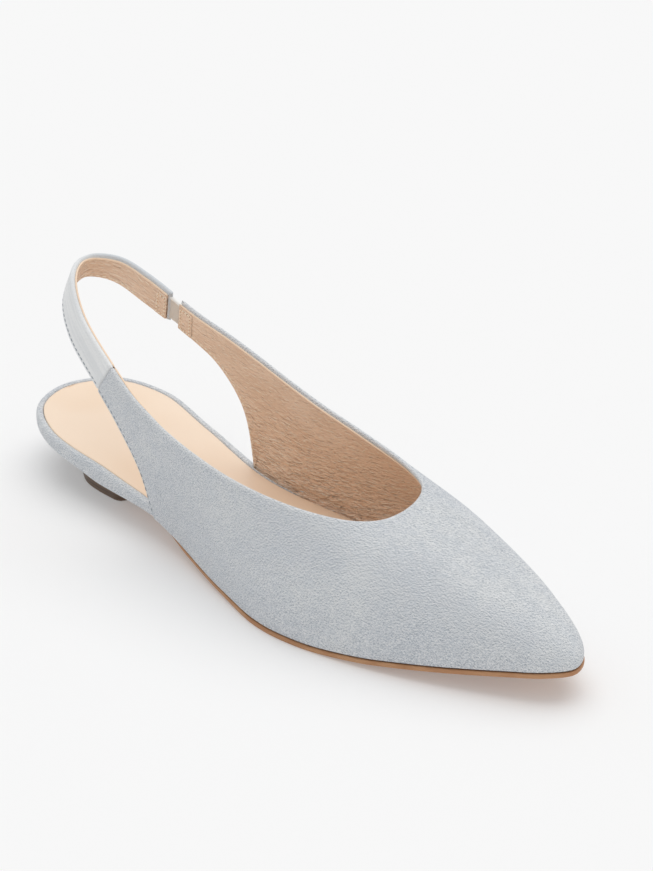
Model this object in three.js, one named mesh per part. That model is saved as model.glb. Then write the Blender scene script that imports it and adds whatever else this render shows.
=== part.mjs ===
import * as THREE from 'three';

// A slingback pump for the right foot, in millimetres. It stands on z = 0 with its toe towards -Y
// and the wearer's outer side towards -X. Inside this file a place is told by how far it lies
// forward of the back of the heel, outward of the sole's middle line, and up from the floor.

// Driving sizes
const LENGTH = 266;
const BALL_WIDTH = 77;
const HEEL_HEIGHT = 17.1;
const TOE_SPRING = 9.6;
const THROAT_HEIGHT = 42;
const STRAP_HEIGHT = 80.3;
const STRAP_WIDTH = 11;
const ELASTIC_LENGTH = 4;

// Walls, thicknesses and clearances
const UPPER_WALL = 2.2;
const STRAP_WALL = 2.6;
const ELASTIC_WALL = 1.2;
const SOLE_THICKNESS = 1.6;
const INSOLE_THICKNESS = 3.3;
const SOLE_LEDGE = 0.35;
const RIM_WIDTH = 2.65;
const HEEL_SET_IN = 9.5;
const NOSE_DRAW_IN = 3;
const LIP_WIDTH = 0.5;
const GAP = 0.3;

// Rounding of edges
const SOLE_EDGE_ROUND = 0.5;
const SEAT_UNDERCUT = 2.2;
const HEEL_EDGE_ROUND = 0.6;
const HEEL_CORNER_RADIUS = 3.5;
const HEEL_BACK_LEAN = 0.6;

const HALF_WIDTH = BALL_WIDTH / 2;
const CENTRE = LENGTH / 2;

// Where things lie along the shoe, as shares of LENGTH
const HEEL_BREAST = 0.236;
const SEAT_FRONT = 0.508;
const RIM_FALL_START = 0.42;
const RIM_FALL_END = 0.48;

// The sole's outline: at is a share of LENGTH, outer and inner are shares of HALF_WIDTH.
const OUTLINE = [
  { at: 0.030, outer: 0.455, inner: 0.535 },
  { at: 0.113, outer: 0.741, inner: 0.742 },
  { at: 0.244, outer: 0.753, inner: 0.643 },
  { at: 0.395, outer: 0.744, inner: 0.570 },
  { at: 0.526, outer: 0.901, inner: 0.772 },
  { at: 0.620, outer: 1.011, inner: 0.934 },
  { at: 0.677, outer: 0.986, inner: 0.976 },
  { at: 0.771, outer: 0.803, inner: 0.914 },
  { at: 0.865, outer: 0.515, inner: 0.725 },
  { at: 0.940, outer: 0.218, inner: 0.540 },
  { at: 0.981, outer: 0.025, inner: 0.421 },
];
const HEEL_POINT_OUT = -0.030;
const TOE_POINT_OUT = -0.171;

// Heights along the shoe: sole and insole are shares of HEEL_HEIGHT above the forefoot's level,
// spring is a share of TOE_SPRING, and thick is a share of SOLE_THICKNESS.
const LEVELS = [
  { at: 0.000, sole: 0.895, insole: 1.000, spring: 0.00, thick: 0.625 },
  { at: 0.124, sole: 0.830, insole: 0.880, spring: 0.00, thick: 0.625 },
  { at: 0.188, sole: 0.702, insole: 0.790, spring: 0.00, thick: 0.625 },
  { at: 0.237, sole: 0.561, insole: 0.730, spring: 0.00, thick: 0.625 },
  { at: 0.301, sole: 0.538, insole: 0.600, spring: 0.00, thick: 0.625 },
  { at: 0.346, sole: 0.503, insole: 0.500, spring: 0.00, thick: 0.625 },
  { at: 0.372, sole: 0.433, insole: 0.445, spring: 0.00, thick: 0.625 },
  { at: 0.395, sole: 0.351, insole: 0.395, spring: 0.00, thick: 0.656 },
  { at: 0.447, sole: 0.199, insole: 0.285, spring: 0.00, thick: 0.800 },
  { at: 0.508, sole: 0.088, insole: 0.165, spring: 0.00, thick: 0.920 },
  { at: 0.564, sole: 0.029, insole: 0.075, spring: 0.00, thick: 1.000 },
  { at: 0.620, sole: 0.000, insole: 0.000, spring: 0.00, thick: 1.000 },
  { at: 0.695, sole: 0.000, insole: 0.000, spring: 0.00, thick: 1.000 },
  { at: 0.771, sole: 0.000, insole: 0.000, spring: 0.13, thick: 1.000 },
  { at: 0.827, sole: 0.000, insole: 0.000, spring: 0.33, thick: 1.000 },
  { at: 0.921, sole: 0.000, insole: 0.000, spring: 0.70, thick: 1.000 },
  { at: 1.000, sole: 0.000, insole: 0.000, spring: 1.00, thick: 1.000 },
];

// How far pieces lie inside the outline: heel is a share of HEEL_SET_IN for the foot of the heel,
// shank a share of it for the sole's narrow waist, ledge a share of SOLE_LEDGE for the upper, and
// nose a share of NOSE_DRAW_IN for the insole at the toe. sock is the insole's thickness as a
// share of INSOLE_THICKNESS.
const INSETS = [
  { at: 0.000, heel: 2.00, shank: 0.65, ledge: 0, sock: 0.364, nose: 0.00 },
  { at: 0.060, heel: 1.75, shank: 0.65, ledge: 0, sock: 0.364, nose: 0.00 },
  { at: 0.120, heel: 1.38, shank: 0.65, ledge: 0, sock: 0.364, nose: 0.00 },
  { at: 0.165, heel: 1.08, shank: 0.65, ledge: 0, sock: 0.364, nose: 0.00 },
  { at: 0.205, heel: 1.00, shank: 0.65, ledge: 0, sock: 0.364, nose: 0.00 },
  { at: 0.301, heel: 1.00, shank: 0.62, ledge: 0, sock: 0.364, nose: 0.00 },
  { at: 0.346, heel: 1.00, shank: 0.42, ledge: 0, sock: 0.364, nose: 0.00 },
  { at: 0.395, heel: 1.00, shank: 0.10, ledge: 0, sock: 0.400, nose: 0.00 },
  { at: 0.447, heel: 1.00, shank: 0.00, ledge: 0, sock: 0.545, nose: 0.00 },
  { at: 0.508, heel: 1.00, shank: 0.00, ledge: 0, sock: 0.727, nose: 0.00 },
  { at: 0.620, heel: 1.00, shank: 0.00, ledge: 1, sock: 1.000, nose: 0.00 },
  { at: 0.800, heel: 1.00, shank: 0.00, ledge: 1, sock: 1.000, nose: 0.15 },
  { at: 1.000, heel: 1.00, shank: 0.00, ledge: 1, sock: 1.000, nose: 1.00 },
];

// The upper's and strap's edges, one row for each section from the back of the heel to the toe.
// foot and top are shares of LENGTH for the lower and upper edge, footOut and topOut shares of
// HALF_WIDTH, topUp a share of the rise from throat to strap, and fall the height between the
// two edges in strap widths. From the corner row on, the lower edge lies on the sole.
const BACK_EDGE = { foot: 0.058, footOut: 0.008, fall: 0.79, top: 0.070, topOut: 0.010, topUp: 0.995 };
const OUTER_EDGE = [
  { foot: 0.065, footOut: 0.200, fall: 0.93, top: 0.078, topOut: 0.158, topUp: 0.971 },
  { foot: 0.084, footOut: 0.350, fall: 1.00, top: 0.105, topOut: 0.340, topUp: 0.887 },
  { foot: 0.134, footOut: 0.523, fall: 0.97, top: 0.160, topOut: 0.515, topUp: 0.689 },
  { foot: 0.226, footOut: 0.665, fall: 1.08, top: 0.263, topOut: 0.688, topUp: 0.441 },
  { foot: 0.282, footOut: 0.732, fall: 1.31, top: 0.323, topOut: 0.766, topUp: 0.302 },
  { foot: 0.331, footOut: 0.738, fall: 2.29, top: 0.368, topOut: 0.805, topUp: 0.228 },
  { foot: 0.361, top: 0.402, topOut: 0.826, topUp: 0.173 },
  { foot: 0.444, top: 0.466, topOut: 0.844, topUp: 0.102 },
  { foot: 0.545, top: 0.545, topOut: 0.839, topUp: 0.051 },
  { foot: 0.639, top: 0.620, topOut: 0.748, topUp: 0.013 },
  { foot: 0.733, top: 0.677, topOut: 0.603, topUp: -0.009 },
  { foot: 0.835, top: 0.710, topOut: 0.395, topUp: -0.041 },
  { foot: 0.932, top: 0.725, topOut: 0.195, topUp: -0.051 },
  { foot: 0.981, top: 0.729, topOut: 0.013, topUp: -0.037 },
];
const THROAT_EDGE = { foot: 1.000, top: 0.728, topOut: -0.130, topUp: -0.011 };
const INNER_EDGE = [
  { foot: 0.066, footOut: -0.160, fall: 0.86, top: 0.075, topOut: -0.135, topUp: 1.000 },
  { foot: 0.089, footOut: -0.299, fall: 0.92, top: 0.102, topOut: -0.306, topUp: 0.966 },
  { foot: 0.132, footOut: -0.436, fall: 1.07, top: 0.147, topOut: -0.418, topUp: 0.845 },
  { foot: 0.226, footOut: -0.530, fall: 1.07, top: 0.237, topOut: -0.504, topUp: 0.617 },
  { foot: 0.278, footOut: -0.556, fall: 1.22, top: 0.301, topOut: -0.556, topUp: 0.499 },
  { foot: 0.325, footOut: -0.579, fall: 2.06, top: 0.353, topOut: -0.592, topUp: 0.393 },
  { foot: 0.348, top: 0.395, topOut: -0.621, topUp: 0.300 },
  { foot: 0.444, top: 0.466, topOut: -0.655, topUp: 0.169 },
  { foot: 0.545, top: 0.545, topOut: -0.691, topUp: 0.064 },
  { foot: 0.639, top: 0.620, topOut: -0.649, topUp: 0.018 },
  { foot: 0.733, top: 0.668, topOut: -0.551, topUp: 0.018 },
  { foot: 0.835, top: 0.698, topOut: -0.447, topUp: 0.018 },
  { foot: 0.932, top: 0.712, topOut: -0.353, topUp: 0.013 },
  { foot: 0.981, top: 0.721, topOut: -0.260, topUp: 0.003 },
];
const CORNER_ROW = 7;
const SEAM_ROW = 4;
const STRAP_END_ROW = -3.49;

// The curve of each section between its two edges, by row. It leaves the lower edge rising by
// rise of its height and leaning in by lean of its run, with a bulge in shares of its height. It
// meets the upper edge from back of its run and drop of its height away. The inner side is fuller
// over the big toe, so it has a bulge and a drop of its own.
const SECTIONS = [
  { row: 0, lean: 0.33, rise: 0.33, bulge: 0.03, back: 0.33, drop: 0.33, innerBulge: 0.03, innerDrop: 0.33 },
  { row: 4, lean: 0.33, rise: 0.33, bulge: 0.04, back: 0.33, drop: 0.33, innerBulge: 0.04, innerDrop: 0.33 },
  { row: 6, lean: 0.30, rise: 0.34, bulge: 0.05, back: 0.33, drop: 0.33, innerBulge: 0.05, innerDrop: 0.33 },
  { row: 7, lean: 0.22, rise: 0.35, bulge: 0.06, back: 0.38, drop: 0.34, innerBulge: 0.06, innerDrop: 0.34 },
  { row: 8, lean: 0.10, rise: 0.37, bulge: 0.08, back: 0.45, drop: 0.35, innerBulge: 0.10, innerDrop: 0.30 },
  { row: 9, lean: 0.00, rise: 0.38, bulge: 0.08, back: 0.60, drop: 0.36, innerBulge: 0.13, innerDrop: 0.27 },
  { row: 10, lean: 0.00, rise: 0.40, bulge: 0.07, back: 0.56, drop: 0.32, innerBulge: 0.15, innerDrop: 0.20 },
  { row: 11, lean: 0.00, rise: 0.42, bulge: 0.05, back: 0.52, drop: 0.27, innerBulge: 0.15, innerDrop: 0.15 },
  { row: 12, lean: 0.00, rise: 0.44, bulge: 0.03, back: 0.50, drop: 0.23, innerBulge: 0.14, innerDrop: 0.11 },
  { row: 13, lean: 0.00, rise: 0.45, bulge: 0.02, back: 0.48, drop: 0.21, innerBulge: 0.12, innerDrop: 0.09 },
  { row: 14, lean: 0.00, rise: 0.45, bulge: 0.02, back: 0.48, drop: 0.21, innerBulge: 0.07, innerDrop: 0.14 },
  { row: 15, lean: 0.00, rise: 0.45, bulge: 0.02, back: 0.48, drop: 0.21, innerBulge: 0.02, innerDrop: 0.21 },
];

// Fineness of the meshes
const STEPS_PER_ROW = 4;
const UPPER_RISES = 10;
const STRAP_RISES = 3;
const RING_STEPS = 89;

// Places a point told by its distances forward, outward and up.
function spot(forward, outward, up) {
  return new THREE.Vector3(-outward, CENTRE - forward, up);
}

// How far forward a placed point lies, as a share of LENGTH.
function shareOf(point) {
  return (CENTRE - point.y) / LENGTH;
}

// A smooth value along a table: monotone from row to row and level beyond both ends.
function along(rows, key, column) {
  const x = rows.map((row) => row[key]);
  const y = rows.map((row) => row[column]);
  const slopes = x.slice(1).map((end, i) => (y[i + 1] - y[i]) / (end - x[i]));
  const tangents = x.map((_, i) => {
    const before = slopes[Math.max(i - 1, 0)];
    const after = slopes[Math.min(i, slopes.length - 1)];
    return before * after > 0 ? (2 * before * after) / (before + after) : 0;
  });
  return (value) => {
    const clamped = THREE.MathUtils.clamp(value, x[0], x[x.length - 1]);
    const i = Math.min(x.filter((start) => start <= clamped).length, x.length - 1) - 1;
    const width = x[i + 1] - x[i];
    const t = (clamped - x[i]) / width;
    const rise = t * t * (3 - 2 * t);
    const leave = t * (1 - t) * (1 - t) * width * tangents[i];
    const arrive = t * t * (1 - t) * width * tangents[i + 1];
    return y[i] + (y[i + 1] - y[i]) * rise + leave - arrive;
  };
}

// The outline as one closed curve. Its index counts the rows: 0 at the back of the heel, up the
// outer side to TOE_INDEX at the toe, and down the inner side, where negative counts from the heel.
const TOE_INDEX = OUTLINE.length + 1;
const outlineCurve = new THREE.CatmullRomCurve3(
  [
    spot(0, HEEL_POINT_OUT * HALF_WIDTH, 0),
    ...OUTLINE.map((row) => spot(row.at * LENGTH, row.outer * HALF_WIDTH, 0)),
    spot(LENGTH, TOE_POINT_OUT * HALF_WIDTH, 0),
    ...OUTLINE.map((row) => spot(row.at * LENGTH, -row.inner * HALF_WIDTH, 0)).reverse(),
  ],
  true,
  'centripetal',
);
const outlineRows = OUTLINE.map((row, i) => ({ at: row.at, index: i + 1 }));
const indexAt = along([{ at: 0, index: 0 }, ...outlineRows, { at: 1, index: TOE_INDEX }], 'at', 'index');

// A point of the outline drawn in by a distance that may depend on its place and side.
function outlinePoint(index, inset) {
  const t = THREE.MathUtils.euclideanModulo(index / (2 * TOE_INDEX), 1);
  const point = outlineCurve.getPoint(t);
  const ahead = outlineCurve.getTangent(t);
  const outerSide = t < 0.5;
  const distance = inset(shareOf(point), outerSide);
  return new THREE.Vector3(point.x - ahead.y * distance, point.y + ahead.x * distance, 0);
}

// Levels of the sole unit
const soleShare = along(LEVELS, 'at', 'sole');
const insoleShare = along(LEVELS, 'at', 'insole');
const springShare = along(LEVELS, 'at', 'spring');
const thickShare = along(LEVELS, 'at', 'thick');

function soleBottom(at) {
  return soleShare(at) * HEEL_HEIGHT + springShare(at) * TOE_SPRING;
}

function soleTop(at) {
  return soleBottom(at) + thickShare(at) * SOLE_THICKNESS;
}

function seatBottom(at) {
  return soleTop(at) + GAP;
}

function insoleTop(at) {
  const forefoot = SOLE_THICKNESS + GAP + INSOLE_THICKNESS;
  return forefoot + insoleShare(at) * HEEL_HEIGHT + springShare(at) * TOE_SPRING;
}

const sockShare = along(INSETS, 'at', 'sock');

function insoleBottom(at) {
  return insoleTop(at) - sockShare(at) * INSOLE_THICKNESS;
}

// Distances of the pieces from the outline
const shankShare = along(INSETS, 'at', 'shank');
const ledgeShare = along(INSETS, 'at', 'ledge');
const heelShare = along(INSETS, 'at', 'heel');
const noseShare = along(INSETS, 'at', 'nose');

function soleInset(at) {
  return shankShare(at) * HEEL_SET_IN;
}

function upperInset(at) {
  return ledgeShare(at) * SOLE_LEDGE;
}

// The seat meets the outline behind the quarters and tucks inside their wall from there on.
const TUCK_START = 0.024;
const TUCK_END = 0.012;

function seatInset(at, outerSide) {
  const corner = (outerSide ? OUTER_EDGE : INNER_EDGE)[CORNER_ROW - 1].foot;
  const tucked = THREE.MathUtils.smoothstep(at, corner - TUCK_START, corner - TUCK_END);
  return tucked * (upperInset(at) + UPPER_WALL + GAP);
}

// The insole lies inside the seat's rim, and further forward inside the upper's wall and a lip.
const NARROW_START = 0.200;

function insoleInset(at) {
  const narrowed = THREE.MathUtils.smoothstep(at, NARROW_START, INNER_EDGE[CORNER_ROW - 1].foot);
  const covered = upperInset(at) + UPPER_WALL + GAP + LIP_WIDTH;
  const inside = THREE.MathUtils.lerp(RIM_WIDTH, covered, narrowed);
  return inside + GAP + noseShare(at) * NOSE_DRAW_IN;
}

// One level of a flat piece: part of the outline, drawn in and lifted by functions of its place.
function ring(from, to, steps, inset, height) {
  return Array.from({ length: steps + 1 }, (_, i) => {
    const point = outlinePoint(from + ((to - from) * i) / steps, inset);
    point.z = height(shareOf(point));
    return point;
  });
}

// A closed solid through loops of equally many points. Each loop is closed across itself at
// both ends of the row, by joining its first point to its last, its second to its last but one.
function loft(loops) {
  const count = loops[0].length;
  const last = (loops.length - 1) * count;
  const faces = [];
  const quad = (a, b, c, d) => faces.push(a, b, c, a, c, d);
  for (let level = 0; level < last; level += count) {
    for (let i = 0; i < count; i += 1) {
      const next = (i + 1) % count;
      quad(level + i, level + next, level + count + next, level + count + i);
    }
  }
  for (let i = 0; i < count / 2 - 1; i += 1) {
    const mirror = count - 1 - i;
    quad(i, mirror, mirror - 1, i + 1);
    quad(last + i, last + i + 1, last + mirror - 1, last + mirror);
  }
  const geometry = new THREE.BufferGeometry().setFromPoints(loops.flat());
  geometry.setIndex(faces);
  geometry.computeVertexNormals();
  return geometry;
}

// The upper edge of strap and upper, once round the foot. Its index counts the section rows:
// 0 at the back, up the outer side to TOE_ROW, and negative on the inner side.
const TOE_ROW = OUTER_EDGE.length + 1;

function topPoint(row) {
  const up = THROAT_HEIGHT + row.topUp * (STRAP_HEIGHT - THROAT_HEIGHT);
  return spot(row.top * LENGTH, row.topOut * HALF_WIDTH, up);
}

const topCurve = new THREE.CatmullRomCurve3(
  [BACK_EDGE, ...OUTER_EDGE, THROAT_EDGE, ...INNER_EDGE.slice().reverse()].map(topPoint),
  true,
  'centripetal',
);

// The free lower edge, from the outer corner round the heel to the inner corner
function lowPoint(row) {
  return spot(row.foot * LENGTH, row.footOut * HALF_WIDTH, topPoint(row).z - row.fall * STRAP_WIDTH);
}

function feather(index) {
  const point = outlinePoint(index, upperInset);
  point.z = soleTop(shareOf(point)) + GAP;
  return point;
}

const freeRows = CORNER_ROW - 1;
const lowCurve = new THREE.CatmullRomCurve3(
  [
    feather(indexAt(OUTER_EDGE[freeRows].foot)),
    ...OUTER_EDGE.slice(0, freeRows).reverse().map(lowPoint),
    lowPoint(BACK_EDGE),
    ...INNER_EDGE.slice(0, freeRows).map(lowPoint),
    feather(-indexAt(INNER_EDGE[freeRows].foot)),
  ],
  false,
  'centripetal',
);

const numbered = (edge) => [...edge, THROAT_EDGE].map((row, i) => ({ row: i + 1, foot: row.foot }));
const outerFoot = along(numbered(OUTER_EDGE), 'row', 'foot');
const innerFoot = along(numbered(INNER_EDGE), 'row', 'foot');

// The lower end of the section at a signed row
function footPoint(row) {
  if (Math.abs(row) <= CORNER_ROW) {
    return lowCurve.getPoint((CORNER_ROW - row) / (2 * CORNER_ROW));
  }
  return row > 0 ? feather(indexAt(outerFoot(row))) : feather(-indexAt(innerFoot(-row)));
}

const lean = along(SECTIONS, 'row', 'lean');
const rise = along(SECTIONS, 'row', 'rise');
const bulge = along(SECTIONS, 'row', 'bulge');
const back = along(SECTIONS, 'row', 'back');
const drop = along(SECTIONS, 'row', 'drop');
const innerBulge = along(SECTIONS, 'row', 'innerBulge');
const innerDrop = along(SECTIONS, 'row', 'innerDrop');

// The curve of the outer surface from lower to upper edge. Rows past the toe count on from
// TOE_ROW, so that a row and the same row less a full turn are one section.
function section(turn) {
  const row = turn > TOE_ROW ? turn - 2 * TOE_ROW : turn;
  const t = THREE.MathUtils.euclideanModulo(row / (2 * TOE_ROW), 1);
  const foot = footPoint(row);
  const top = topCurve.getPoint(t);
  const ahead = topCurve.getTangent(t);
  const outward = new THREE.Vector3(ahead.y, -ahead.x, 0).normalize();
  const run = new THREE.Vector3(top.x - foot.x, top.y - foot.y, 0);
  const height = top.z - foot.z;
  const size = Math.abs(row);
  const start = foot.clone().addScaledVector(run, lean(size));
  start.addScaledVector(outward, (row < 0 ? innerBulge : bulge)(size) * height);
  start.z += rise(size) * height;
  const end = top.clone().addScaledVector(run, -back(size));
  end.z -= (row < 0 ? innerDrop : drop)(size) * height;
  return new THREE.CubicBezierCurve3(foot, start, end, top);
}

// The grid of outer points between two rows, one list for each section
function surface(from, to, rises) {
  const steps = Math.ceil(Math.abs(to - from) * STEPS_PER_ROW);
  const rowAt = (i) => from + ((to - from) * i) / steps;
  return Array.from({ length: steps + 1 }, (_, i) => section(rowAt(i)).getPoints(rises));
}

// The outward direction of a grid at one of its points. It is level along the lower edge, so that
// the wall stands square on the sole.
function outwardAt(grid, i, j) {
  const before = grid[Math.max(i - 1, 0)][j];
  const after = grid[Math.min(i + 1, grid.length - 1)][j];
  const below = grid[i][Math.max(j - 1, 0)];
  const above = grid[i][Math.min(j + 1, grid[i].length - 1)];
  const direction = new THREE.Vector3().subVectors(after, before);
  direction.cross(new THREE.Vector3().subVectors(above, below));
  if (j === 0) {
    direction.z = 0;
  }
  return direction.normalize();
}

// The loops of a wall: up the inside of each section, over its turned edge and down the outside.
// depth is how far the wall's outer face lies under the grid.
const TURN_RISE = 0.35;
const TURN_HALF = 0.28;

function wallLoops(grid, wall, depth) {
  return grid.map((points, i) => {
    const outward = points.map((_, j) => outwardAt(grid, i, j));
    const under = (deep) => points.map((point, j) => point.clone().addScaledVector(outward[j], -deep));
    const outer = under(depth);
    const inner = under(depth + wall);
    const end = points.length - 1;
    const upward = new THREE.Vector3().subVectors(points[end], points[end - 1]).normalize();
    const across = outward[end];
    const crest = outer[end].clone().lerp(inner[end], 0.5).addScaledVector(upward, TURN_RISE * wall);
    outer.push(crest.clone().addScaledVector(across, TURN_HALF * wall));
    inner.push(crest.addScaledVector(across, -TURN_HALF * wall));
    return [...inner, ...outer.reverse()];
  });
}

// Materials
const suede = new THREE.MeshStandardMaterial({ color: 0xb9c2cc, roughness: 0.95, metalness: 0 });
const strapSuede = new THREE.MeshStandardMaterial({ color: 0xc3ccd2, roughness: 0.95, metalness: 0 });
const soleLeather = new THREE.MeshStandardMaterial({ color: 0xb98a62, roughness: 0.6, metalness: 0 });
const heelLeather = new THREE.MeshStandardMaterial({ color: 0x4f4034, roughness: 0.55, metalness: 0 });
const sockLeather = new THREE.MeshStandardMaterial({ color: 0xe9cdb1, roughness: 0.6, metalness: 0 });
const webbing = new THREE.MeshStandardMaterial({ color: 0xe4dcd4, roughness: 0.7, metalness: 0 });

const shoe = new THREE.Group();

function add(name, loops, material) {
  const mesh = new THREE.Mesh(loft(loops), material);
  mesh.name = name;
  shoe.add(mesh);
}

// A full ring starts and ends half a step to each side of the heel's back.
const fullStart = TOE_INDEX / (RING_STEPS + 1);
const fullRing = (inset, height) => ring(fullStart, 2 * TOE_INDEX - fullStart, RING_STEPS, inset, height);

// Outsole: from the heel's breast to the toe, with a rounded lower and upper edge
function outsoleLoops() {
  const start = indexAt(HEEL_BREAST) + GAP / LENGTH;
  const level = (extra, share) =>
    ring(
      start,
      2 * TOE_INDEX - start,
      RING_STEPS,
      (at) => soleInset(at) + extra,
      (at) => soleBottom(at) + share * (soleTop(at) - soleBottom(at)),
    );
  return [level(SOLE_EDGE_ROUND, 0), level(0, 0.25), level(0, 0.8), level(SOLE_EDGE_ROUND, 1)];
}

// Heel: a low block under the seat, with a straight breast and rounded corners
function heelLoops() {
  const end = indexAt(HEEL_BREAST);
  const corner = (at) => {
    const past = (at - HEEL_BREAST) * LENGTH + HEEL_CORNER_RADIUS;
    const reach = THREE.MathUtils.clamp(past / HEEL_CORNER_RADIUS, 0, 1);
    return HEEL_CORNER_RADIUS * (1 - Math.sqrt(1 - reach * reach));
  };
  const level = (lean, extra, height) => {
    const inset = (at) => HEEL_SET_IN * THREE.MathUtils.lerp(1, heelShare(at), lean) + extra + corner(at);
    return ring(-end, end, RING_STEPS, inset, height);
  };
  return [
    level(1, HEEL_EDGE_ROUND, () => 0),
    level(1, 0, () => HEEL_EDGE_ROUND),
    level(HEEL_BACK_LEAN, 0, (at) => seatBottom(at) - GAP),
  ];
}

// Heel seat: the covered board whose rounded rim shows round the insole and falls away in front
function seatLoops() {
  const end = indexAt(SEAT_FRONT);
  const floor = (at) => insoleBottom(at) - GAP;
  const rimTop = (at) => {
    const fallen = THREE.MathUtils.smoothstep(at, RIM_FALL_START, RIM_FALL_END);
    return THREE.MathUtils.lerp(insoleTop(at), floor(at), fallen);
  };
  const between = (share) => (at) => seatBottom(at) + share * (rimTop(at) - seatBottom(at));
  const level = (inset, height) => ring(-end, end, RING_STEPS, inset, height);
  const under = (share) => (at, outerSide) => seatInset(at, outerSide) + share * SEAT_UNDERCUT;
  const rim = (share) => (at, outerSide) =>
    THREE.MathUtils.lerp(seatInset(at, outerSide), insoleInset(at) - GAP, share);
  return [
    level(under(1), between(0)),
    level(under(0.2), between(0.16)),
    level(under(0), between(0.45)),
    level(rim(0.05), between(0.85)),
    level(rim(0.3), between(1)),
    level(rim(1), between(1)),
    level((at, outerSide) => rim(1)(at, outerSide) + GAP / 2, floor),
  ];
}

// Insole: the leather sock and its board, lying in the seat and on the outsole
function insoleLoops() {
  const level = (extra, height) => fullRing((at) => insoleInset(at) + extra, height);
  return [
    level(0.2, insoleBottom),
    level(0, (at) => insoleTop(at) - 0.2 * INSOLE_THICKNESS),
    level(0.4, insoleTop),
  ];
}

// Upper and heel strap share the sections; the strap starts a clearance past the seam.
const seamSpan = footPoint(SEAM_ROW).distanceTo(footPoint(SEAM_ROW - 1));
const endSpan = footPoint(STRAP_END_ROW).distanceTo(footPoint(STRAP_END_ROW - 1));
const seamGap = GAP / seamSpan;
const endGap = GAP / endSpan;
const armEndRow = STRAP_END_ROW - ELASTIC_LENGTH / endSpan;
const upperGrid = surface(SEAM_ROW, 2 * TOE_ROW + armEndRow, UPPER_RISES);
const strapGrid = surface(STRAP_END_ROW, SEAM_ROW - seamGap, STRAP_RISES);

// Elastic: a narrower band between the strap's end and the inner quarter's arm
const ELASTIC_SHARE = 0.8;
const elasticGrid = surface(armEndRow + endGap, STRAP_END_ROW - endGap, STRAP_RISES).map((points) => {
  const middle = points[0].clone().lerp(points[points.length - 1], 0.5);
  return points.map((point) => middle.clone().lerp(point, ELASTIC_SHARE));
});

add('outsole', outsoleLoops(), soleLeather);
add('heel_block', heelLoops(), heelLeather);
add('heel_seat', seatLoops(), suede);
add('insole', insoleLoops(), sockLeather);
add('upper', wallLoops(upperGrid, UPPER_WALL, 0), suede);
add('heel_strap', wallLoops(strapGrid, STRAP_WALL, 0), strapSuede);
add('elastic', wallLoops(elasticGrid, ELASTIC_WALL, (STRAP_WALL - ELASTIC_WALL) / 2), webbing);

export default shoe;
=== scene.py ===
"""A slingback pump for the right foot: its finished surfaces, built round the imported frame.

Lengths are in millimetres and become metres when a mesh is made. The shoe stands on z = 0 with its
toe towards -Y and the wearer's outer side towards -X. A place is told by how far it lies forward
of the back of the heel, outward of the sole's middle line, and up from the floor. Rows count the
upper's sections: 0 at the heel's back, up the outer side to the toe, negative on the inner side.
"""

import math

import bpy
import numpy as np
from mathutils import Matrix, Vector


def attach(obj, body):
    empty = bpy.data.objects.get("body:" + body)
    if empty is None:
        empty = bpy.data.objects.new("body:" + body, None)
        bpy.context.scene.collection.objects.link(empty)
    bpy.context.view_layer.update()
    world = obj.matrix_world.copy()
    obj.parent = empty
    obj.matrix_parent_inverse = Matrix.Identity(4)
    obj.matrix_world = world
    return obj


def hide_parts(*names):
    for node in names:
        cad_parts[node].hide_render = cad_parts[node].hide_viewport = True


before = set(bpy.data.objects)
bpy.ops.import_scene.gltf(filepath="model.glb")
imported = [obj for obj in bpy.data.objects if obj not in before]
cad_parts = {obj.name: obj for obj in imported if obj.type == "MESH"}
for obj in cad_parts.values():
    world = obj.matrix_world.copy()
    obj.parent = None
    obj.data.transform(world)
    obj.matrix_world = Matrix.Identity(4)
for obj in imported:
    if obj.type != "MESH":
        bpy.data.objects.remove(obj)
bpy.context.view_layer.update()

MM = 0.001

# Driving sizes
LENGTH = 266
BALL_WIDTH = 77
HEEL_HEIGHT = 17.1
TOE_SPRING = 9.6
THROAT_HEIGHT = 42
STRAP_HEIGHT = 80.3
STRAP_WIDTH = 11
ELASTIC_LENGTH = 4

# Walls, thicknesses and clearances
UPPER_WALL = 2.2
STRAP_WALL = 2.6
ELASTIC_WALL = 1.2
ELASTIC_SHARE = 0.8
SOLE_THICKNESS = 1.6
INSOLE_THICKNESS = 3.3
SOLE_LEDGE = 0.35
RIM_WIDTH = 2.65
HEEL_SET_IN = 9.5
NOSE_DRAW_IN = 3
GAP = 0.3

HALF_WIDTH = BALL_WIDTH / 2
CENTRE = LENGTH / 2

# Where things lie along the shoe, as shares of LENGTH
HEEL_BREAST = 0.236
SEAT_FRONT = 0.508
HEEL_POINT_OUT = -0.030
TOE_POINT_OUT = -0.171


def table(text):
    """A short table as a dict of its columns, named by the first line."""
    names, *rows = (line.split() for line in text.strip().splitlines())
    return dict(zip(names, np.array(rows, float).T))


# The sole's outline: at is a share of LENGTH, outer and inner are shares of HALF_WIDTH.
OUTLINE = table("""
    at    outer inner
    0.030 0.455 0.535
    0.113 0.741 0.742
    0.244 0.753 0.643
    0.395 0.744 0.570
    0.526 0.901 0.772
    0.620 1.011 0.934
    0.677 0.986 0.976
    0.771 0.803 0.914
    0.865 0.515 0.725
    0.940 0.218 0.540
    0.981 0.025 0.421
""")

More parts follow.
